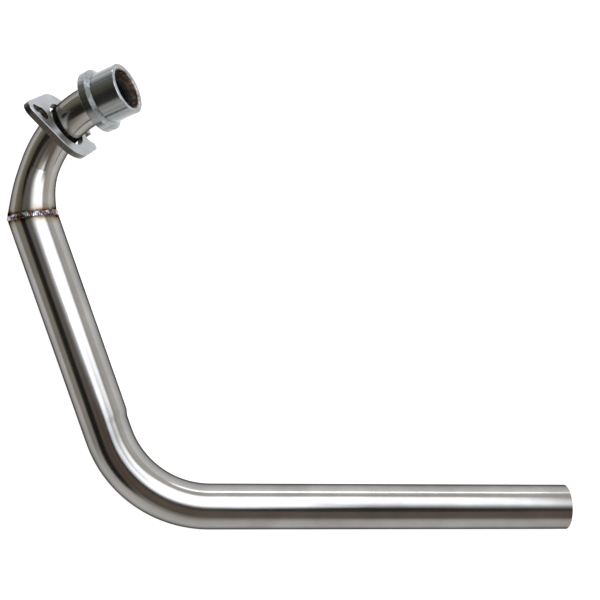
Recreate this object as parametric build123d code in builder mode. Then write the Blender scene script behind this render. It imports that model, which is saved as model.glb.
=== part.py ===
"""Motorcycle exhaust header: a head pipe for a single-cylinder engine.

A turned port sleeve with its collar, a flared and bent neck tube, a mitred TIG
joint, and a main tube with one mandrel bend that is drawn down to the outlet.
A loose stud flange hangs on the neck, behind the collar.

Millimetres, +Z up. The part lies as it comes to rest: the outlet points along +X
and the axis of the main tube lies flat. Layout places are taken from the start of
the outlet run, and the finished pieces are moved at the end, so that the origin is
the middle of the bounding box, on the floor.
"""

import os
from math import cos, degrees, radians, sin

from build123d import *

os.makedirs("parts", exist_ok=True)

# Main tube: upper leg, drawn bend, outlet run
leg_od = 45.0
outlet_od = 42.4
tube_wall = 1.5
leg_length = 194.0
drawn_lead = 16.0
outlet_length = 344.0
main_bend_radius = 100.0
main_bend_angle = 69.6
# The bend die leaves a step on the inner wall, where the clamped leg ends, and the
# drawn section runs straight for a little before the bend
die_step = 1.5
die_step_length = 4.0
outlet_edge_break = 0.3

# Neck tube: flared at the joint, then bent up and over to the port
neck_od = 34.9
neck_wall = 1.5
flare_od = 44.4
flare_length = 44.5
flare_power = 1.4
flare_sections = 7
neck_straight = 12.4
neck_bend_radius = 96.4
neck_bend_angle = 68.9
neck_kink = 21.5
neck_roll = 27.0

# Port sleeve: spigot and collar turned in one piece
spigot_od = 46.4
sleeve_length = 33.5
collar_od = 56.6
collar_thickness = 7.2
collar_cone_length = 2.7
gas_bore = 36.4
gas_bore_depth = 21.0
bore_chamfer = 1.1
rim_break = 0.5
socket_clearance = 0.05
# The lathe tool's relief at the foot of the cone and at the foot of the bore
relief_width = 0.8
relief_depth = 0.2

# Welds
joint_bead_width = 6.4
joint_bead_height = 0.8
joint_bead_root = 0.45
bore_bead_size = 1.6

# Stud flange: a loose diamond plate with one closed and one open stud slot
plate_thickness = 6.0
plate_hole = 43.0
plate_round = 65.2
ear_round = 16.0
ear_spacing = 87.0
open_ear_end = 40.5
ear_edge_break = 0.5
closed_slot_width = 8.2
closed_slot_inner = 33.7
closed_slot_outer = 42.3
stud_hole = 12.4
stud_hole_side = 1.7
open_slot_width = 11.2
open_slot_inner = 33.5
prong_outer_radius = 3.4
prong_inner_radius = 0.8
# Where it rests: its open ear all but stands on the floor, so the neck runs off centre
# through its hole. The face looks plate_facing degrees round from +X and plate_rise up
plate_along_neck = 94.1
plate_facing = 34.3
plate_rise = 22.0
plate_turn = -116.0
plate_shift_along = -2.3
plate_shift_across = -2.5

# Radii and reaches that follow from the sizes above
leg_r = leg_od / 2
outlet_r = outlet_od / 2
drawn_r = leg_r - die_step / 2
neck_r = neck_od / 2
flare_r = flare_od / 2
spigot_r = spigot_od / 2
collar_r = collar_od / 2
gas_bore_r = gas_bore / 2
socket_depth = sleeve_length - gas_bore_depth - bore_bead_size
neck_stub = flare_od / 4
overrun = leg_od

# Layout planes
UP = Vector(0, 0, 1)
main_plane = Plane.XY
bend_sweep = radians(main_bend_angle)
bend_end = Vector(-main_bend_radius * sin(bend_sweep), main_bend_radius * (1 - cos(bend_sweep)), 0)
leg_dir = Vector(-cos(bend_sweep), sin(bend_sweep), 0)
inner_side = leg_dir.cross(UP)
leg_start = bend_end + leg_dir * (drawn_lead + die_step_length)
joint_centre = leg_start + leg_dir * leg_length

neck_dir = leg_dir.rotate(Axis.Z, -neck_kink)
neck_axis = (-UP).rotate(Axis((0, 0, 0), neck_dir), -neck_roll)
neck_plane = Plane(origin=joint_centre, x_dir=neck_dir, z_dir=neck_axis)
mitre_plane = Plane(origin=joint_centre, z_dir=leg_dir + neck_dir)


def neck_station(run):
    """Plane across the neck, run millimetres along its axis from the joint."""
    turn = max(run - neck_straight, 0) / neck_bend_radius
    along = min(run, neck_straight) + neck_bend_radius * sin(turn)
    aside = neck_bend_radius * (1 - cos(turn))
    centre = neck_plane.from_local_coords(Vector(along, aside, 0))
    heading = neck_plane.x_dir * cos(turn) + neck_plane.y_dir * sin(turn)
    return Plane(origin=centre, x_dir=neck_axis, z_dir=heading)


neck_run_length = neck_straight + neck_bend_radius * radians(neck_bend_angle)
collar_plane = neck_station(neck_run_length)


def disc(plane, radius):
    """Round section on a plane."""
    with BuildSketch(plane) as section:
        Circle(radius)
    return section.sketch


def main_run(inset, reach, mode):
    """Add the main tube's outside, or cut its bore when inset is the wall."""
    leg_foot = Plane(origin=leg_start, z_dir=leg_dir)
    extrude(disc(leg_foot, leg_r - inset), amount=leg_length + overrun, mode=mode)

    # The drawn section stays flush with the leg on the outside of the bend
    drawn_shift = inner_side * (die_step / 2)
    drawn_start = Plane(origin=bend_end - drawn_shift, z_dir=leg_dir)
    drawn_end = drawn_start.offset(drawn_lead)
    drawn = disc(drawn_start, drawn_r - inset)
    extrude(drawn, amount=drawn_lead, mode=mode)
    loft([disc(drawn_end, drawn_r - inset), disc(leg_foot, leg_r - inset)], mode=mode)

    outlet_start = Plane.YZ
    with BuildLine(main_plane) as bend_line:
        CenterArc((0, main_bend_radius), main_bend_radius, -90, -main_bend_angle)
    sections = [disc(outlet_start, outlet_r - inset), drawn]
    sweep(sections, path=bend_line.line, multisection=True, mode=mode)
    extrude(disc(outlet_start, outlet_r - inset), amount=outlet_length + reach, mode=mode)


with BuildPart() as main_tube:
    main_run(0, 0, Mode.ADD)
    main_run(tube_wall, overrun, Mode.SUBTRACT)
    split(bisect_by=mitre_plane, keep=Keep.BOTTOM)
    outlet_edges = main_tube.edges().filter_by(GeomType.CIRCLE).group_by(Axis.X)[-1]
    chamfer(outlet_edges, length=outlet_edge_break)

main_tube.part.label = "main_tube"


def neck_run(inset, reach, mode):
    """Add the neck's outside, or cut its bore when inset is the wall."""
    flare_turn = degrees((flare_length - neck_straight) / neck_bend_radius)
    mouth = neck_station(0)
    extrude(disc(mouth, flare_r - inset), amount=-neck_stub, mode=mode)

    flare = []
    for k in range(flare_sections):
        share = k / (flare_sections - 1)
        radius = neck_r + (flare_r - neck_r) * (1 - share) ** flare_power
        flare.append(disc(neck_station(share * flare_length), radius - inset))
    loft(flare, mode=mode)

    with BuildLine(neck_plane) as bend_line:
        CenterArc(
            (neck_straight, neck_bend_radius),
            neck_bend_radius,
            -90 + flare_turn,
            neck_bend_angle - flare_turn,
        )
    sweep(flare[-1], path=bend_line.line, mode=mode)
    extrude(disc(collar_plane, neck_r - inset), amount=socket_depth + reach, mode=mode)


with BuildPart() as neck_tube:
    neck_run(0, 0, Mode.ADD)
    neck_run(neck_wall, overrun, Mode.SUBTRACT)
    split(bisect_by=mitre_plane, keep=Keep.TOP)

neck_tube.part.label = "neck_tube"

# The sleeve is turned about the end of the neck, from the collar's back face out
turning_plane = Plane(origin=collar_plane.origin, x_dir=collar_plane.z_dir, z_dir=neck_axis)
sleeve_axis = Axis(turning_plane.origin, turning_plane.x_dir)
socket_r = neck_r + socket_clearance
bore_step = sleeve_length - gas_bore_depth
cone_end = collar_thickness + collar_cone_length
with BuildPart() as head_sleeve:
    with BuildSketch(turning_plane):
        with BuildLine():
            Polyline(
                (0, socket_r),
                (0, collar_r - rim_break),
                (rim_break, collar_r),
                (collar_thickness, collar_r),
                (cone_end, spigot_r - relief_depth),
                (cone_end + relief_width, spigot_r - relief_depth),
                (cone_end + relief_width, spigot_r),
                (sleeve_length - rim_break, spigot_r),
                (sleeve_length, spigot_r - rim_break),
                (sleeve_length, gas_bore_r + bore_chamfer),
                (sleeve_length - bore_chamfer, gas_bore_r),
                (bore_step + relief_width, gas_bore_r),
                (bore_step + relief_width, gas_bore_r + relief_depth),
                (bore_step, gas_bore_r + relief_depth),
                (bore_step, socket_r),
                close=True,
            )
        make_face()
    revolve(axis=sleeve_axis)

head_sleeve.part.label = "head_sleeve"

# Fillet weld inside the sleeve, round the end of the neck tube
with BuildPart() as bore_weld:
    with BuildSketch(turning_plane):
        with BuildLine():
            Polyline(
                (socket_depth, neck_r - neck_wall),
                (socket_depth, socket_r),
                (bore_step, socket_r),
                close=True,
            )
        make_face()
    revolve(axis=sleeve_axis)

bore_weld.part.label = "bore_weld"

# TIG bead round the mitre
with BuildPart() as joint_weld:
    bead_plane = Plane(origin=joint_centre, x_dir=mitre_plane.z_dir, z_dir=main_plane.z_dir)
    with BuildSketch(bead_plane):
        with Locations((0, leg_r - joint_bead_root)):
            Ellipse(joint_bead_width / 2, joint_bead_root + joint_bead_height)
        with Locations((0, leg_r - joint_bead_root)):
            Rectangle(
                leg_od, leg_od, align=(Align.CENTER, Align.MAX), mode=Mode.SUBTRACT
            )
    revolve(axis=Axis(joint_centre, mitre_plane.z_dir))
    add(main_tube.part, mode=Mode.SUBTRACT)
    add(neck_tube.part, mode=Mode.SUBTRACT)

joint_weld.part.label = "joint_weld"

# Stud flange: x along its studs towards the open ear, z out of its front face
level = Vector(0, 1, 0).rotate(Axis.Z, plate_facing)
plate_normal = Vector(1, 0, 0).rotate(Axis.Y, -plate_rise).rotate(Axis.Z, plate_facing)
plate_plane = Plane(
    origin=neck_station(plate_along_neck).origin,
    x_dir=level.rotate(Axis((0, 0, 0), plate_normal), plate_turn),
    z_dir=plate_normal,
)
plate_plane = plate_plane.shift_origin(
    plate_plane.from_local_coords(Vector(plate_shift_along, plate_shift_across, 0))
)
ear_reach = ear_spacing / 2
ear_tip = ear_reach + ear_round / 2
plate_length_axis = Axis(plate_plane.origin, plate_plane.x_dir)
plate_width_axis = Axis(plate_plane.origin, plate_plane.y_dir)
with BuildPart() as head_flange:
    with BuildSketch(plate_plane) as plate:
        Circle(plate_round / 2)
        with Locations((-ear_reach, 0), (ear_reach, 0)):
            Circle(ear_round / 2)
        make_hull()
        Circle(plate_hole / 2, mode=Mode.SUBTRACT)
        # Closed slot: a stud hole run out into a narrower slot
        with Locations((-(closed_slot_inner + closed_slot_outer) / 2, 0)):
            SlotCenterToCenter(
                closed_slot_outer - closed_slot_inner, closed_slot_width, mode=Mode.SUBTRACT
            )
        with Locations((-closed_slot_inner, -stud_hole_side)):
            Circle(stud_hole / 2, mode=Mode.SUBTRACT)
        # Open slot: round inside, and open through the ear's cut end
        with Locations((open_slot_inner, 0)):
            Circle(open_slot_width / 2, mode=Mode.SUBTRACT)
        with Locations((open_slot_inner + ear_tip / 2, 0)):
            Rectangle(ear_tip, open_slot_width, mode=Mode.SUBTRACT)
        with Locations((open_ear_end + ear_tip / 2, 0)):
            Rectangle(ear_tip, plate_round, mode=Mode.SUBTRACT)
        prong_corners = plate.vertices().group_by(plate_length_axis)[-1].sort_by(plate_width_axis)
        fillet([prong_corners[0], prong_corners[-1]], radius=prong_outer_radius)
        prong_corners = plate.vertices().group_by(plate_length_axis)[-1].sort_by(plate_width_axis)
        fillet(prong_corners[1:-1], radius=prong_inner_radius)
    extrude(amount=-plate_thickness)
    front_face = head_flange.faces().sort_by(Axis(plate_plane.origin, plate_plane.z_dir))[-1]
    chamfer(front_face.outer_wire().edges(), length=ear_edge_break)

head_flange.part.label = "head_flange"

# The whole part is moved so that the origin is the middle of its box, on the floor
pieces = (main_tube, neck_tube, head_sleeve, bore_weld, joint_weld, head_flange)
box = Compound([piece.part for piece in pieces]).bounding_box()
to_origin = Location((-box.center().X, -box.center().Y, -box.min.Z))

export_step(main_tube.part.moved(to_origin), "parts/main_tube.step")
export_step(neck_tube.part.moved(to_origin), "parts/neck_tube.step")
export_step(head_sleeve.part.moved(to_origin), "parts/head_sleeve.step")
export_step(bore_weld.part.moved(to_origin), "parts/bore_weld.step")
export_step(joint_weld.part.moved(to_origin), "parts/joint_weld.step")
export_step(head_flange.part.moved(to_origin), "parts/head_flange.step")
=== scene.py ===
"""Looks for the motorcycle exhaust header: steels, weld beads, floor, studio light, camera."""

import math

import bmesh
import bpy
from mathutils import Matrix, Quaternion, Vector


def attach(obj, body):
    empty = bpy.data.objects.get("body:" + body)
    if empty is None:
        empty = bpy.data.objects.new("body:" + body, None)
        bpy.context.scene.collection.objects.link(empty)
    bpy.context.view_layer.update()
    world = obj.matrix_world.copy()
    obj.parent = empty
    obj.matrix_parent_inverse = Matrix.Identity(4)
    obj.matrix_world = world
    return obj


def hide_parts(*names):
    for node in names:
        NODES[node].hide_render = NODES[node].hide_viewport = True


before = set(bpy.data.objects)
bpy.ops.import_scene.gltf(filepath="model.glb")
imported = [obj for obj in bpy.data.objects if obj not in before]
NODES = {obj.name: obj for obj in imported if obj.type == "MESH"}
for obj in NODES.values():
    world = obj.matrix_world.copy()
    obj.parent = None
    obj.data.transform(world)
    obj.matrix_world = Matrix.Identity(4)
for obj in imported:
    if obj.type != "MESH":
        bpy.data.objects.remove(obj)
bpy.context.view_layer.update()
MM = 0.001

# Where the pieces lie in the row frame, in metres, from the part's own sizes
JOINT_CENTRE = Vector((-0.24462, 0.076264, 0.0233))
MITRE_NORMAL = Vector((-0.167629, 0.98585, 0.0)).normalized()
SLEEVE_BACK = Vector((-0.187694, 0.177526, 0.05131))
SLEEVE_AXIS = Vector((0.838026, 0.343972, 0.423552)).normalized()
FLANGE_CENTRE = Vector((-0.214237, 0.158665, 0.041032))
FLANGE_NORMAL = Vector((0.765945, 0.522492, 0.374607)).normalized()
STUD_LINE = Vector((0.525176, -0.172402, -0.833347)).normalized()  # from stud to stud
BEND_CENTRE = Vector((-0.076298, -0.089457, 0.0233))
NECK_BEND_CENTRE = Vector((-0.158505, 0.087013, 0.067065))
NECK_BEND_AXIS = Vector((0.453907, -0.008715, -0.891007))
NECK_BEND_RADIUS = 96.4 * MM
NECK_START = Vector((0.019197, 0.999816, 0))  # the neck's direction where its bend starts

# Main tube: the outlet run, the bend, a lead past it up to the bend die's step, the leg
OUTLET_RUN = 344 * MM
BEND_RADIUS = 100 * MM
BEND_TURN = math.radians(69.6)
BEND_LENGTH = BEND_RADIUS * BEND_TURN
DRAWN_LEAD = 20 * MM
STEP_END = BEND_LENGTH + DRAWN_LEAD
LEG_RUN = 194 * MM
LEG_RADIUS = 22.5 * MM
OUTLET_RADIUS = 21.2 * MM
WALL = 1.5 * MM
CHAMFER = 0.3 * MM
STEP_DEPTH = 1.5 * MM
STEP_LENGTH = 9 * MM
STEP_FOCUS = 6  # a higher power keeps the step closer to the bend's inner side
TUBE_SIDES = 96
OUTLET_RINGS, BEND_RINGS, LEAD_RINGS, LEG_RINGS = 14, 64, 24, 12
TUBE_CREASE = 35  # degrees: the cut ends stay sharp, and the skin is smooth

# Bead round the mitre
HALF_MITRE = math.radians(10.75)
JOINT_BEAD_HALF_WIDTH = 2.65 * MM
JOINT_BEAD_CREST = 23.28 * MM
JOINT_BEAD_SINK = 0.06 * MM
JOINT_BEAD_ROUNDING = 0.7  # below 1 it is flatter on top and steeper at its toes
JOINT_RIPPLE = 0.38  # share of the bead's height
JOINT_LAG = 0.75  # how many dabs its middle lags behind its toes, which bows the ripples
# How its width wanders: share of the width, waves round the joint, where they start
JOINT_WANDER = ((0.07, 3, 1), (0.05, 11, 0))
# On the neck's side the surface drops by this within 1 mm, and falls away at this slope
NECK_EDGE_DROP = 0.3 * MM
NECK_FLARE_SLOPE = 0.147
JOINT_DABS = 80
JOINT_ROWS = 12

# Fillet inside the sleeve, from the neck's end out to the bore, as depths and radii
BORE_WELD_START = 10.75 * MM
BORE_WELD_END = 12.75 * MM
BORE_WELD_INNER = 15.95 * MM
BORE_WELD_OUTER = 17.7 * MM
BORE_WELD_SWELL = 0.35 * MM
BORE_WELD_LEAN = 0.7  # the swell's share along the axis, and towards it: 45 degrees
BORE_RIPPLE = 0.6
BORE_LAG = 0.6
BORE_DABS = 44
BORE_ROWS = 8

DAB_STEPS = 7  # mesh steps along each dab of filler
DAB_RISE = 0.12  # share of a dab in which it rises, before its slow fall
DAB_FALL = 0.8  # power of that fall
DAB_SPREAD = 0.2  # how uneven the dabs' heights are
VALLEY_PAINTED_LIGHT = 0.15  # how much of a crest's painted highlight the valleys keep; the rest is painted shade
MERGE_DISTANCE = 1e-4  # on the bead before it is put in place, when its radius is 1

# Heat tint on the tubes, from the bead outwards, ending in bare steel
TINT_REACH = 13 * MM
TINT_WANDER = 1.2 * MM
TINT_STOPS = [
    (0.0, "4c3b33"), (0.24, "4e423b"), (0.28, "5c4a40"), (0.34, "75695d"), (0.46, "8b857c"),
    (0.70, "93918c"), (1.0, "989897"),
]
# Radii between which the brown of the sleeve's bore ends, and depths from the sleeve's
# back over which it grows towards the mouth
BROWN_BORE = (18.3 * MM, 19.3 * MM)
BROWN_DEPTH = (20 * MM, 29 * MM)
# Bead colours, patch by patch: copper, brown, blue-black, silver, and copper again
BEAD_STOPS = [
    (0.30, "a5623a"), (0.40, "7b4a33"), (0.46, "2c2b30"), (0.52, "5b6470"), (0.58, "b9bcc0"),
    (0.66, "c9c8c6"), (0.74, "b87547"),
]

FLOOR_SIZE = 12.0
FLOOR_GLOW = 0.88
LIGHT_COLOUR = "f3f7ff"
EDGE_FALL = 0.3  # share of a light's width over which each edge of its diffuser dims
ROOM_GLOW = 1.25
# The room, from straight down to straight up
ROOM_STOPS = [
    (0.0, "a6a5a4"), (0.5, "eceae8"), (0.62, "e8e5e1"), (0.71, "dad6d1"), (0.78, "b3afa9"),
    (0.88, "8a8782"), (1.0, "85827e"),
]
# Dark parts of the room: azimuth and elevation of each one's middle, how far its core and
# its edge lie from there, all in degrees, and its colour
DARK_PARTS = [
    (175, 8, 22, 45, "a8a294"), (166, 29, 6, 20, "857d6b"), (127, 5, 14, 40, "8a8c8a"),
    (166, 41, 5, 13, "24231c"), (-175, 46, 7, 15, "24231c"), (-155, 44, 9, 19, "2c2a24"),
    (-138, 38, 9, 18, "2c2a24"), (-98, 67, 15, 26, "6c5e51"), (-62, 58, 16, 28, "80746a"),
    (-25, 77, 7, 14, "3f3c38"),
]

LENS_MM, SENSOR_MM = 63.0, 36.0
CAMERA_PLACE = (-0.111899, 0.005247, 1.006720)
CAMERA_ROWS = (
    (0.992880, 0.023981, 0.116680),
    (-0.023822, 0.999712, -0.002763),
    (-0.116713, -0.000036, 0.993166),
)


def linear(hex_colour):
    """An sRGB hex colour as linear red, green, blue, alpha."""
    parts = [int(hex_colour[i:i + 2], 16) / 255 for i in (0, 2, 4)]
    return [c / 12.92 if c <= 0.04045 else ((c + 0.055) / 1.055) ** 2.4 for c in parts] + [1.0]


def add_node(tree, kind, inputs=None, stops=(), **settings):
    """Adds a node with its settings and any colour stops. Each input, by name or by
    number, is set to a value, or linked from a socket or a node's first live output."""
    node = tree.nodes.new("ShaderNode" + kind)
    for name, value in settings.items():
        setattr(node, name, value)
    if stops:
        elements = node.color_ramp.elements
        while len(elements) < len(stops):
            elements.new(1.0)
        for element, (position, colour) in zip(elements, stops):
            element.position, element.color = position, linear(colour)
    for key, value in (inputs or {}).items():
        named = [socket for socket in node.inputs if socket.enabled and socket.name == key]
        socket = named[0] if named else node.inputs[key]
        if isinstance(value, bpy.types.Node):
            value = next(output for output in value.outputs if output.enabled)
        if isinstance(value, bpy.types.NodeSocket):
            tree.links.new(value, socket)
        else:
            socket.default_value = value
    return node


def new_material(name):
    """An empty material and its node tree."""
    made = bpy.data.materials.new(name)
    made.use_nodes = True
    made.node_tree.nodes.clear()
    return made, made.node_tree


def along(tree, place, centre, direction):
    """How far each point lies from a centre along a direction, in metres."""
    offset = add_node(tree, "VectorMath", {0: place, 1: centre}, operation="SUBTRACT")
    return add_node(tree, "VectorMath", {0: offset, 1: direction}, operation="DOT_PRODUCT")


def give(node, material):
    """Puts one material on a CAD node."""
    mesh = NODES[node].data
    mesh.materials.clear()
    mesh.materials.append(material)


def polished_tube(name, tone_low, tone_high):
    """Belt-polished 304 stainless tube: a bright soft mirror with faint lines along it,
    clouded by handling, and straw to brown beside the joint, where the weld heated it."""
    made, tree = new_material(name)
    place = add_node(tree, "TexCoord").outputs["Object"]
    run = add_node(tree, "Attribute", attribute_name="tube_run").outputs["Vector"]
    # Clouds of handling, 31 mm across
    cloud = add_node(tree, "TexNoise", {"Vector": place, "Scale": 1 / (31.25 * MM), "Detail": 3.0})
    tone = add_node(tree, "ValToRGB", {"Fac": cloud}, [(0.3, tone_low), (0.7, tone_high)])
    # Polishing lines: under 0.1 mm wide on the real one, drawn 1.1 mm wide and 111 mm long
    # so that they show
    line_scale = (1 / (111.1 * MM), 1 / (1.111 * MM), 1 / (1.111 * MM))
    stretch = add_node(tree, "Mapping", {"Vector": run, "Scale": line_scale})
    lines = add_node(tree, "TexNoise", {"Vector": stretch, "Scale": 1.0, "Detail": 3.0})
    rough = add_node(
        tree, "MapRange",
        {"Value": lines, "From Min": 0.25, "From Max": 0.75, "To Min": 0.11, "To Max": 0.2},
        interpolation_type="SMOOTHSTEP",
    )
    bump = add_node(tree, "Bump", {"Height": lines, "Distance": 0.004 * MM, "Strength": 0.5})
    # The tint's edge wanders, in waves 5.6 mm long
    wander = add_node(tree, "TexNoise", {"Vector": place, "Scale": 1 / (5.556 * MM), "Detail": 2.0})
    shift = add_node(
        tree, "MapRange",
        {"Value": wander, "From Min": 0.2, "From Max": 0.8,
         "To Min": -TINT_WANDER, "To Max": TINT_WANDER},
        interpolation_type="SMOOTHSTEP",
    )
    side = along(tree, place, JOINT_CENTRE, MITRE_NORMAL)
    reach = add_node(tree, "Math", {0: side}, operation="ABSOLUTE")
    edge = add_node(tree, "Math", {0: reach, 1: shift}, operation="ADD")
    cooled = add_node(tree, "MapRange", {"Value": edge, "From Min": 0.0, "From Max": TINT_REACH})
    tinted = add_node(tree, "ValToRGB", {"Fac": cooled}, TINT_STOPS)
    bare = add_node(
        tree, "MapRange", {"Value": cooled, "From Min": 0.4, "From Max": 1.0},
        interpolation_type="SMOOTHSTEP",
    )
    tone = add_node(tree, "Mix", {"Factor": bare, "A": tinted, "B": tone}, data_type="RGBA")
    # The specular tint darkens the tube a little towards its outline, as dim walls would
    shader = add_node(tree, "BsdfPrincipled", {
        "Base Color": tone, "Metallic": 1.0, "Roughness": rough, "Normal": bump,
        "Specular Tint": linear("62605e"),
    })
    add_node(tree, "OutputMaterial", {"Surface": shader})
    return made


def turned_sleeve():
    """Lathe-turned 304 stainless: a soft sheen drawn out along the axis by fine tool
    marks round it, painted reflection streaks along the axis, and a bore that the gas
    has browned."""
    made, tree = new_material("turned_stainless_sleeve")
    place = add_node(tree, "TexCoord").outputs["Object"]
    depth = along(tree, place, SLEEVE_BACK, SLEEVE_AXIS)
    # Feed marks: 0.15 mm apart on the real one, drawn 0.5 mm apart so that they show
    marks = add_node(
        tree, "TexNoise",
        {"W": depth, "Scale": 1 / (0.5 * MM), "Detail": 2.0, "Roughness": 0.6},
        noise_dimensions="1D",
    )
    # Clouds of handling, 14 mm across
    cloud = add_node(tree, "TexNoise", {"Vector": place, "Scale": 1 / (14.29 * MM), "Detail": 3.0})
    clouded = add_node(tree, "ValToRGB", {"Fac": cloud}, [(0.3, "767a7b"), (0.7, "868a8b")])
    grooved = add_node(tree, "ValToRGB", {"Fac": marks}, [(0.3, "707475"), (0.7, "94989a")])
    tone = add_node(tree, "Mix", {"Factor": 0.45, "A": clouded, "B": grooved}, data_type="RGBA")
    # Painted reflection: soft light and dark streaks along the axis, 3 mm apart round the sleeve,
    # where mirrored bands of the room would lie
    axial = add_node(tree, "VectorMath", {0: SLEEVE_AXIS, "Scale": depth}, operation="SCALE")
    around = add_node(tree, "VectorMath", {0: place, 1: axial}, operation="SUBTRACT")
    reflection_streak_noise = add_node(
        tree, "TexNoise", {"Vector": around, "Scale": 1 / (3.03 * MM), "Detail": 2.0}
    )
    painted_reflection_streaks = add_node(tree, "ValToRGB", {"Fac": reflection_streak_noise}, [(0.35, "626768"), (0.65, "a6a9aa")])
    tone = add_node(tree, "Mix", {"Factor": 0.35, "A": tone, "B": painted_reflection_streaks}, data_type="RGBA")
    # The gas side of the bore is browned by heat, most of all near the mouth
    inward = add_node(
        tree, "MapRange",
        {"Value": depth, "From Min": BROWN_DEPTH[0], "From Max": BROWN_DEPTH[1],
         "To Min": 0.1, "To Max": 1.0},
        interpolation_type="SMOOTHSTEP",
    )
    reach = add_node(tree, "VectorMath", {0: place, 1: SLEEVE_BACK}, operation="DISTANCE")
    reach_squared = add_node(tree, "Math", {0: reach, 1: 2.0}, operation="POWER")
    depth_squared = add_node(tree, "Math", {0: depth, 1: 2.0}, operation="POWER")
    radius_squared = add_node(
        tree, "Math", {0: reach_squared, 1: depth_squared}, operation="SUBTRACT"
    )
    in_bore = add_node(
        tree, "MapRange",
        {"Value": radius_squared, "From Min": BROWN_BORE[0] ** 2, "From Max": BROWN_BORE[1] ** 2,
         "To Min": 1.0, "To Max": 0.0},
        interpolation_type="SMOOTHSTEP",
    )
    browned = add_node(tree, "Math", {0: inward, 1: in_bore}, operation="MULTIPLY")
    # Brown patches 3.8 mm across
    patch = add_node(tree, "TexNoise", {"Vector": place, "Scale": 1 / (3.846 * MM), "Detail": 3.0})
    brown = add_node(
        tree, "ValToRGB", {"Fac": patch}, [(0.35, "55463c"), (0.52, "7b6758"), (0.64, "a79a90")]
    )
    tone = add_node(tree, "Mix", {"Factor": browned, "A": tone, "B": brown}, data_type="RGBA")
    smooth = add_node(
        tree, "MapRange",
        {"Value": marks, "From Min": 0.3, "From Max": 0.7, "To Min": 0.17, "To Max": 0.26},
        interpolation_type="SMOOTHSTEP",
    )
    rough = add_node(tree, "Math", {0: browned, 1: 0.3, 2: smooth}, operation="MULTIPLY_ADD")
    bump = add_node(tree, "Bump", {"Height": marks, "Distance": 0.004 * MM, "Strength": 0.5})
    shader = add_node(tree, "BsdfPrincipled", {
        "Base Color": tone, "Metallic": 1.0, "Roughness": rough, "Normal": bump,
    })
    add_node(tree, "OutputMaterial", {"Surface": shader})
    return made


def satin_plate():
    """Laser-cut 6 mm stainless plate: both faces ground to a pale satin, and its cut
    edge left darker, with the cut's fine striations through the thickness."""
    made, tree = new_material("satin_stainless_plate")
    coordinates = add_node(tree, "TexCoord")
    place, facing = coordinates.outputs["Object"], coordinates.outputs["Normal"]
    square = add_node(tree, "VectorMath", {0: facing, 1: FLANGE_NORMAL}, operation="DOT_PRODUCT")
    either_way = add_node(tree, "Math", {0: square}, operation="ABSOLUTE")
    on_face = add_node(
        tree, "MapRange", {"Value": either_way, "From Min": 0.3, "From Max": 0.6},
        interpolation_type="SMOOTHSTEP",
    )
    # Grinding grain: about 0.1 mm on the real one, drawn 1.1 mm across so that it shows
    grind = add_node(tree, "TexNoise", {"Vector": place, "Scale": 1 / (1.111 * MM), "Detail": 3.0})
    # Clouds of handling, 17 mm across
    cloud = add_node(tree, "TexNoise", {"Vector": place, "Scale": 1 / (16.67 * MM), "Detail": 3.0})
    face = add_node(tree, "ValToRGB", {"Fac": cloud}, [(0.3, "95989b"), (0.7, "a8abae")])
    # Cut striations: 0.2 mm apart on the real one, drawn 0.8 mm apart so that they show
    across = along(tree, place, FLANGE_CENTRE, STUD_LINE)
    cut = add_node(
        tree, "TexNoise", {"W": across, "Scale": 1 / (0.8333 * MM), "Detail": 2.0},
        noise_dimensions="1D",
    )
    edge = add_node(tree, "ValToRGB", {"Fac": cut}, [(0.3, "403d3a"), (0.7, "605b56")])
    tone = add_node(tree, "Mix", {"Factor": on_face, "A": edge, "B": face}, data_type="RGBA")
    rough = add_node(
        tree, "MapRange",
        {"Value": grind, "From Min": 0.3, "From Max": 0.7, "To Min": 0.28, "To Max": 0.4},
        interpolation_type="SMOOTHSTEP",
    )
    bump = add_node(tree, "Bump", {"Height": grind, "Distance": 0.01 * MM, "Strength": 0.5})
    shader = add_node(tree, "BsdfPrincipled", {
        "Base Color": tone, "Metallic": 1.0, "Roughness": rough, "Normal": bump,
    })
    add_node(tree, "OutputMaterial", {"Surface": shader})
    return made


def weld_bead(name):
    """TIG bead laid with a filler rod: shiny frozen ripples in patches of silver, and of
    blue-black to copper where the shielding gas ran thin. Painted light: the patch colour
    stays on the ripples' crests as a highlight, and their valleys and toes get near-black
    painted shade."""
    made, tree = new_material(name)
    place = add_node(tree, "TexCoord").outputs["Object"]
    painted_crest_light = add_node(tree, "Attribute", attribute_name="painted_crest_light").outputs["Fac"]
    # Patches of colour 4.8 mm across
    patch = add_node(
        tree, "TexNoise",
        {"Vector": place, "Scale": 1 / (4.762 * MM), "Detail": 2.0, "Roughness": 0.6},
    )
    colour = add_node(tree, "ValToRGB", {"Fac": patch}, BEAD_STOPS)
    # Painted light: the ripples' crests keep the patch colour as a highlight, and their valleys and
    # toes fade to near-black painted shade
    crest_light_mask = add_node(
        tree, "MapRange", {"Value": painted_crest_light, "From Min": 0.0, "From Max": 0.6},
        interpolation_type="SMOOTHSTEP",
    )
    tone = add_node(
        tree, "Mix", {"Factor": crest_light_mask, "A": linear("211c1b"), "B": colour}, data_type="RGBA"
    )
    shader = add_node(
        tree, "BsdfPrincipled", {"Base Color": tone, "Metallic": 1.0, "Roughness": 0.26}
    )
    add_node(tree, "OutputMaterial", {"Surface": shader})
    return made


def lit_paper():
    """White paper lying on a light table: matt, and lit a little from below."""
    made, tree = new_material("white_paper_floor")
    shader = add_node(tree, "BsdfPrincipled", {
        "Base Color": linear("a9a9a8"), "Roughness": 0.9,
        "Emission Color": linear("ffffff"), "Emission Strength": FLOOR_GLOW,
    })
    add_node(tree, "OutputMaterial", {"Surface": shader})
    return made


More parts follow.
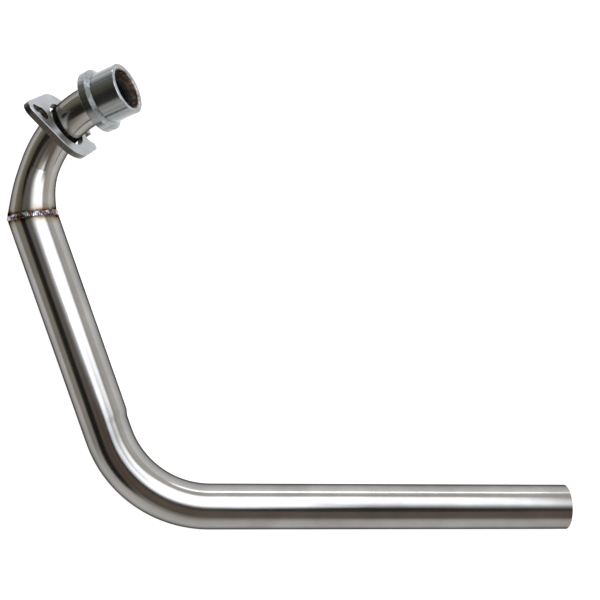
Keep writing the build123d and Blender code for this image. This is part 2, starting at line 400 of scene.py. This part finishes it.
def mark_neck_run():
    """Stores, on each vertex of the neck, how far along, out and across its bend it lies."""
    mesh = NODES["neck_tube"].data
    run = mesh.attributes.new("tube_run", "FLOAT_VECTOR", "POINT")
    start = NECK_BEND_AXIS.cross(NECK_START).normalized()
    for vertex, value in zip(mesh.vertices, run.data):
        spoke = vertex.co - NECK_BEND_CENTRE
        offset = spoke.dot(NECK_BEND_AXIS)
        flat = spoke - NECK_BEND_AXIS * offset
        turn = math.atan2(flat.dot(start.cross(NECK_BEND_AXIS)), flat.dot(start))
        value.vector = (turn * NECK_BEND_RADIUS, flat.length, offset)


def finished(work, name, crease=180):
    """A mesh and object from a bmesh, smooth apart from edges over a crease in degrees."""
    for face in work.faces:
        face.smooth = True
    for edge in work.edges:
        if len(edge.link_faces) == 2 and edge.calc_face_angle() > math.radians(crease):
            edge.smooth = False
    mesh = bpy.data.meshes.new(name)
    work.to_mesh(mesh)
    work.free()
    made = bpy.data.objects.new(name, mesh)
    bpy.context.scene.collection.objects.link(made)
    return made


def eased(share):
    """A share held between 0 and 1, with a soft start and end."""
    share = min(max(share, 0), 1)
    return share * share * (3 - 2 * share)


def tube_frame(run):
    """Centre and direction of the main tube, run metres from the start of its bend:
    negative on the outlet run, then the bend, then the leg."""
    turn = min(max(run / BEND_RADIUS, 0), BEND_TURN)
    heading = Vector((-math.cos(turn), math.sin(turn), 0))
    centre = BEND_CENTRE + Vector((-math.sin(turn), -math.cos(turn), 0)) * BEND_RADIUS
    return centre + heading * (run - turn * BEND_RADIUS), heading


def tube_radius(run, turn):
    """Outer radius at a place along the tube and an angle round it, 0 on the bend's
    inner side: there the bend die leaves a sharp step, and elsewhere the tube narrows
    gently all along the bend."""
    drawn = OUTLET_RADIUS + (LEG_RADIUS - OUTLET_RADIUS) * eased(run / STEP_END)
    share = min(max(run / STEP_END, 0), 1)
    stepped = OUTLET_RADIUS + (LEG_RADIUS - STEP_DEPTH - OUTLET_RADIUS) * share
    inner = ((1 + math.cos(turn)) / 2) ** STEP_FOCUS
    inner *= 1 - eased((run - STEP_END + STEP_LENGTH) / STEP_LENGTH)
    return drawn + (stepped - drawn) * inner


def ring_edges(ring):
    """The edges that join a ring's own vertices, always in the same order."""
    edges = dict.fromkeys(edge for vertex in ring for edge in vertex.link_edges)
    members = set(ring)
    return [edge for edge in edges if all(vertex in members for vertex in edge.verts)]


def dressed_main_tube():
    """The main tube as one smooth skin: a ring is drawn out along the run to the mitre,
    turned in by the wall, and drawn back along the bore to the outlet."""
    runs = [CHAMFER - OUTLET_RUN]
    runs += [-OUTLET_RUN * (1 - k / OUTLET_RINGS) for k in range(1, OUTLET_RINGS)]
    runs += [BEND_LENGTH * k / BEND_RINGS for k in range(BEND_RINGS + 1)]
    runs += [BEND_LENGTH + DRAWN_LEAD * k / LEAD_RINGS for k in range(1, LEAD_RINGS + 1)]
    runs += [STEP_END + LEG_RUN * k / LEG_RINGS for k in range(1, LEG_RINGS + 1)]
    # Each place along the tube, with how far out or in from its outer radius the ring is
    path = [(-OUTLET_RUN, -CHAMFER)] + [(run, 0) for run in runs]
    path += [(run, -WALL) for run in reversed(runs)] + [(-OUTLET_RUN, CHAMFER - WALL)]
    skin = bmesh.new()
    run_layer = skin.verts.layers.float_vector.new("tube_run")
    first = bmesh.ops.create_circle(skin, segments=TUBE_SIDES, radius=1)["verts"]
    turns = {vertex: math.atan2(vertex.co.y, vertex.co.x) for vertex in first}
    for number, (run, inset) in enumerate(path):
        if number:
            # Each new vertex has the angle of the one that it is drawn out from
            drawn = bmesh.ops.extrude_edge_only(skin, edges=ring_edges(turns))["geom"]
            turns = {
                vertex: next(turns[edge.other_vert(vertex)] for edge in vertex.link_edges
                             if edge.other_vert(vertex) in turns)
                for vertex in drawn if isinstance(vertex, bmesh.types.BMVert)
            }
        centre, heading = tube_frame(run)
        inward = Vector((heading.y, -heading.x, 0))
        for vertex, turn in turns.items():
            radius = tube_radius(run, turn) + inset
            out = inward * math.cos(turn) + Vector((0, 0, math.sin(turn)))
            vertex.co = centre + out * radius
            if run >= runs[-1]:
                # The rings at the leg's end are slid onto the mitre's plane
                past = (vertex.co - JOINT_CENTRE).dot(MITRE_NORMAL) / heading.dot(MITRE_NORMAL)
                vertex.co -= heading * past
            vertex[run_layer] = (run, radius * math.cos(turn), radius * math.sin(turn))
    bmesh.ops.bridge_loops(skin, edges=ring_edges(first) + ring_edges(turns))
    bmesh.ops.recalc_face_normals(skin, faces=skin.faces[:])
    return finished(skin, "dressed_main_tube", TUBE_CREASE)


def dab(turn, dabs, lag):
    """Height of the ripples, 0 to 1, at an angle: each dab of filler rises fast and falls
    slowly, to a height of its own."""
    count = turn / math.tau * dabs - lag
    share = count - math.floor(count)
    number = math.floor(count) % dabs
    # A fast sine scatters the heights
    level = 1 - DAB_SPREAD + DAB_SPREAD * math.sin(number * 12.9898 + 4.1)
    return level * (1 - share) ** DAB_FALL * min(share / DAB_RISE, 1)


def lay_bead(name, material, place, section, dabs, rows):
    """A closed ring of weld: a short line is spun about Z, then every point is put on
    the bead's section, which section(turn, share) gives as height, radius and the painted
    light of its ripples: a highlight on their crests, shade in their valleys and toes."""
    bead = bmesh.new()
    line = [bead.verts.new((1, 0, k / rows)) for k in range(rows + 1)]
    for low, high in zip(line, line[1:]):
        bead.edges.new((low, high))
    bmesh.ops.spin(
        bead, geom=bead.verts[:] + bead.edges[:], cent=(0, 0, 0), axis=(0, 0, 1),
        angle=math.tau, steps=dabs * DAB_STEPS, use_merge=True,
    )
    bmesh.ops.remove_doubles(bead, verts=bead.verts[:], dist=MERGE_DISTANCE)
    painted_crest_light = bead.verts.layers.float.new("painted_crest_light")
    for vertex in bead.verts:
        turn = math.atan2(vertex.co.y, vertex.co.x)
        height, radius, ripple = section(turn, vertex.co.z * 2 - 1)
        vertex.co = (radius * math.cos(turn), radius * math.sin(turn), height)
        vertex[painted_crest_light] = ripple
    bead.transform(place)
    bmesh.ops.recalc_face_normals(bead, faces=bead.faces[:])
    made = finished(bead, name)
    made.data.materials.append(material)
    return made


def joint_section(turn, share):
    """The mitre's bead: it follows both tubes' surfaces, and stays inside the CAD bead.
    Its angle is 0 on the inner side of the kink, and share runs from -1 to 1 across it."""
    wander = sum(part * math.sin(waves * turn + start) for part, waves, start in JOINT_WANDER)
    height = share * JOINT_BEAD_HALF_WIDTH * (1 + wander)
    mitre_radius = LEG_RADIUS / math.hypot(math.cos(turn) * math.cos(HALF_MITRE), math.sin(turn))
    surface = mitre_radius + math.tan(HALF_MITRE) * abs(height) * math.cos(turn)
    if height > 0:
        surface -= NECK_EDGE_DROP * min(height / MM, 1) + NECK_FLARE_SLOPE * height
    arch = math.sqrt(max(1 - share * share, 0))
    ripple = dab(turn, JOINT_DABS, JOINT_LAG * arch)
    lift = (JOINT_BEAD_CREST - mitre_radius) * arch ** JOINT_BEAD_ROUNDING
    lift *= 1 - JOINT_RIPPLE + JOINT_RIPPLE * ripple
    # The third value is painted light: a highlight on each ripple's crest, painted shade in its
    # valleys and at the toes
    return height, surface - JOINT_BEAD_SINK + lift, ripple * arch + VALLEY_PAINTED_LIGHT


def bore_section(turn, share):
    """The fillet inside the sleeve, swelling out of its corner at 45 degrees. Share runs
    from -1 at the neck's end to 1 at the bore's wall."""
    outward = (share + 1) / 2
    arch = math.sqrt(max(1 - share * share, 0))
    ripple = dab(turn, BORE_DABS, BORE_LAG * arch)
    swell = BORE_WELD_SWELL * arch * (1 - BORE_RIPPLE + BORE_RIPPLE * ripple) * BORE_WELD_LEAN
    height = BORE_WELD_START + (BORE_WELD_END - BORE_WELD_START) * outward
    radius = BORE_WELD_INNER + (BORE_WELD_OUTER - BORE_WELD_INNER) * outward
    # The third value is painted light: a highlight on each ripple's crest, painted shade in its
    # valleys and at the toes
    return height + swell, radius - swell, ripple * arch + VALLEY_PAINTED_LIGHT


def standing_at(centre, direction, towards):
    """A place whose Z is a direction, and whose X leans towards another."""
    up = direction.normalized()
    side = (towards - up * towards.dot(up)).normalized()
    turned = Matrix((side, up.cross(side), up)).transposed().to_4x4()
    return Matrix.Translation(centre) @ turned


def softbox(name, centre, size, radiance, aim, turn=0):
    """A rectangular soft light of a given radiance, aimed at a point and turned in its
    own plane by some degrees. Its diffuser dims smoothly towards its edges."""
    lamp = bpy.data.lights.new(name, "AREA")
    lamp.shape = "RECTANGLE"
    lamp.size, lamp.size_y = size
    lamp.energy = radiance * math.pi * size[0] * size[1]
    lamp.color = linear(LIGHT_COLOUR)[:3]
    lamp.use_nodes = True
    tree = lamp.node_tree
    tree.nodes.clear()
    spot = add_node(tree, "NewGeometry").outputs["Parametric"]
    parts = add_node(tree, "SeparateXYZ", {"Vector": spot})
    falls = []
    for axis in ("X", "Y"):
        side = add_node(tree, "Math", {0: parts.outputs[axis], 1: 0.5}, operation="SUBTRACT")
        off_centre = add_node(tree, "Math", {0: side}, operation="ABSOLUTE")
        falls.append(add_node(
            tree, "MapRange",
            {"Value": off_centre, "From Min": 0.5 - EDGE_FALL, "From Max": 0.5,
             "To Min": 1.0, "To Max": 0.0},
            interpolation_type="SMOOTHSTEP",
        ))
    glow = add_node(tree, "Math", {0: falls[0], 1: falls[1]}, operation="MULTIPLY")
    shine = add_node(tree, "Emission", {"Strength": glow})
    add_node(tree, "OutputLight", {"Surface": shine})
    holder = bpy.data.objects.new(name, lamp)
    holder.location = centre
    holder.rotation_mode = "QUATERNION"
    facing = (Vector(aim) - Vector(centre)).to_track_quat("-Z", "Y")
    holder.rotation_quaternion = facing @ Quaternion((0, 0, 1), math.radians(turn))
    holder.visible_camera = False
    bpy.context.scene.collection.objects.link(holder)


def studio_room():
    """The room that the steel mirrors: pale walls, a dim ceiling and its dark parts."""
    room = bpy.data.worlds.new("studio_room")
    room.use_nodes = True
    tree = room.node_tree
    tree.nodes.clear()
    look = add_node(tree, "TexCoord").outputs["Generated"]
    rise = add_node(tree, "SeparateXYZ", {"Vector": look}).outputs["Z"]
    wall = add_node(tree, "MapRange", {"Value": rise, "From Min": -1.0, "From Max": 1.0})
    tone = add_node(tree, "ValToRGB", {"Fac": wall}, ROOM_STOPS)
    for azimuth, elevation, core, edge, shade in DARK_PARTS:
        around, up = math.radians(azimuth), math.radians(elevation)
        middle = (math.cos(up) * math.cos(around), math.cos(up) * math.sin(around), math.sin(up))
        near = add_node(tree, "VectorMath", {0: look, 1: middle}, operation="DOT_PRODUCT")
        dark = add_node(
            tree, "MapRange",
            {"Value": near, "From Min": math.cos(math.radians(edge)),
             "From Max": math.cos(math.radians(core))},
            interpolation_type="SMOOTHSTEP",
        )
        tone = add_node(
            tree, "Mix", {"Factor": dark, "A": tone, "B": linear(shade)}, data_type="RGBA"
        )
    glow = add_node(tree, "Background", {"Color": tone, "Strength": ROOM_GLOW})
    add_node(tree, "OutputWorld", {"Surface": glow})
    return room


# Tubes, sleeve and flange
main_skin = dressed_main_tube()
main_skin.data.materials.append(polished_tube("polished_stainless_tube", "92908e", "a09f9d"))
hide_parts("main_tube")
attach(main_skin, "pipe")
mark_neck_run()
give("neck_tube", polished_tube("polished_stainless_neck", "8f8c87", "9c9a96"))
give("head_sleeve", turned_sleeve())
give("head_flange", satin_plate())

# Weld beads
joint_bead = lay_bead(
    "rippled_joint_weld", weld_bead("tig_bead_joint"),
    standing_at(JOINT_CENTRE, MITRE_NORMAL, Vector((1, 0, 0))),
    joint_section, JOINT_DABS, JOINT_ROWS,
)
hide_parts("joint_weld")
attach(joint_bead, "pipe")
bore_bead = lay_bead(
    "rippled_bore_weld", weld_bead("tig_bead_bore"),
    standing_at(SLEEVE_BACK, SLEEVE_AXIS, Vector((0, 0, 1))),
    bore_section, BORE_DABS, BORE_ROWS,
)
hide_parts("bore_weld")
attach(bore_bead, "pipe")

# Floor
bpy.ops.mesh.primitive_plane_add(size=FLOOR_SIZE, location=(0, 0, 0))
floor = bpy.context.object
floor.name = "floor"
floor.data.materials.append(lit_paper())

# Lights and room
softbox("overhead_softbox", (0.16, 0.39, 0.58), (1.08, 1.12), 3.4, aim=(0.16, 0.39, 0))
softbox("corner_softbox", (-0.03, 0.01, 0.56), (0.46, 0.27), 2.6, aim=(0, 0, 0), turn=50)
softbox("horizon_strip", (0.35, 1.9, 0.10), (1.9, 0.26), 7.0, aim=(0.35, 0, 0.02))
bpy.context.scene.world = studio_room()

# Camera at the photo's angle
lens = bpy.data.cameras.new("camera")
lens.lens, lens.sensor_width = LENS_MM, SENSOR_MM
camera = bpy.data.objects.new("camera", lens)
bpy.context.scene.collection.objects.link(camera)
camera.matrix_world = Matrix.Translation(CAMERA_PLACE) @ Matrix(CAMERA_ROWS).transposed().to_4x4()
bpy.context.scene.camera = camera
bpy.context.scene.view_settings.view_transform = "Standard"
